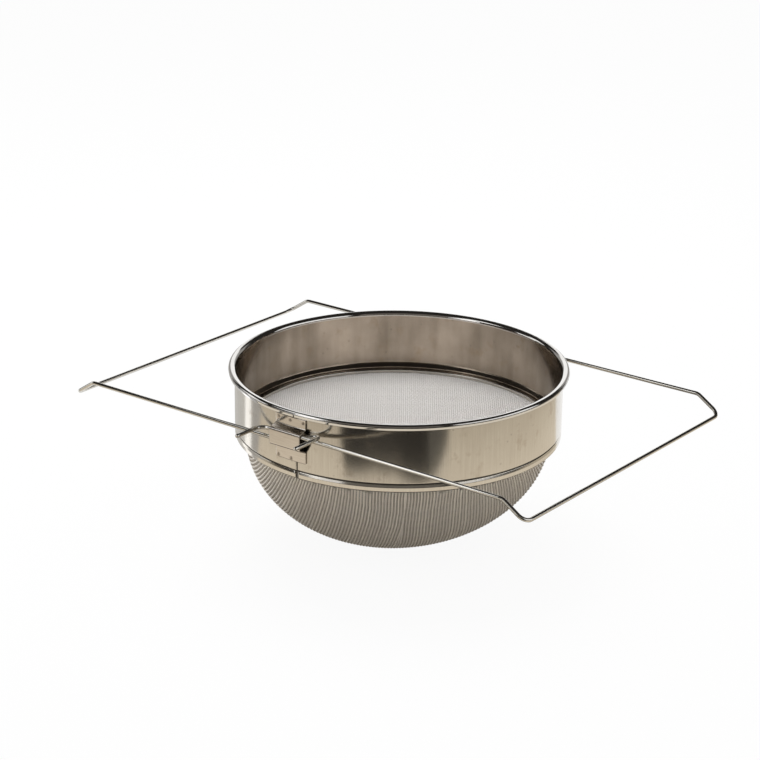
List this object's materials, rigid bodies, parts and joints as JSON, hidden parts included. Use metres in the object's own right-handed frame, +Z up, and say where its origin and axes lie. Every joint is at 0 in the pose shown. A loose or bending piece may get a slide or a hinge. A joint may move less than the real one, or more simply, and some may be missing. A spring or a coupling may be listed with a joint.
{
  "type": "honey strainer",
  "caption": "Round steel double honey strainer: a flat coarse sieve nested in a bowl-shaped fine sieve, with sliding wire arms that rest on a bucket's rim.",
  "frame": {"origin": "middle of the small flat at the bottom of the fine mesh bowl, which the strainer stands on", "axes": "+Z up along the sieves' axis; +X along the arms' travel, towards the right arm; -Y towards the front bracket"},
  "size_m": [0.3907, 0.2794, 0.1263],
  "materials": {
    "polished_steel": "polished stainless sheet",
    "woven_steel": "woven stainless wire cloth",
    "wire_steel": "bright drawn stainless wire"
  },
  "bodies": {
    "lower_sieve": {"lower_band": "polished_steel", "fine_mesh": "woven_steel", "fine_mesh_hoop": "polished_steel", "front_bracket": "polished_steel", "rear_bracket": "polished_steel"},
    "upper_sieve": {"upper_band": "polished_steel", "coarse_mesh": "woven_steel", "coarse_mesh_ring": "polished_steel"},
    "left_arm": {"left_arm": "wire_steel"},
    "right_arm": {"right_arm": "wire_steel"}
  },
  "joints": [
    {"name": "upper_sieve_lift", "type": "slide", "parent": "lower_sieve", "child": "upper_sieve", "axis": [0, 0, 1], "range_m": [0, 0.12]},
    {"name": "left_arm_slide", "type": "slide", "parent": "lower_sieve", "child": "left_arm", "axis": [1, 0, 0], "range_m": [0, 0.074]},
    {"name": "right_arm_slide", "type": "slide", "parent": "lower_sieve", "child": "right_arm", "axis": [-1, 0, 0], "range_m": [-0.004, 0.066]}
  ]
}
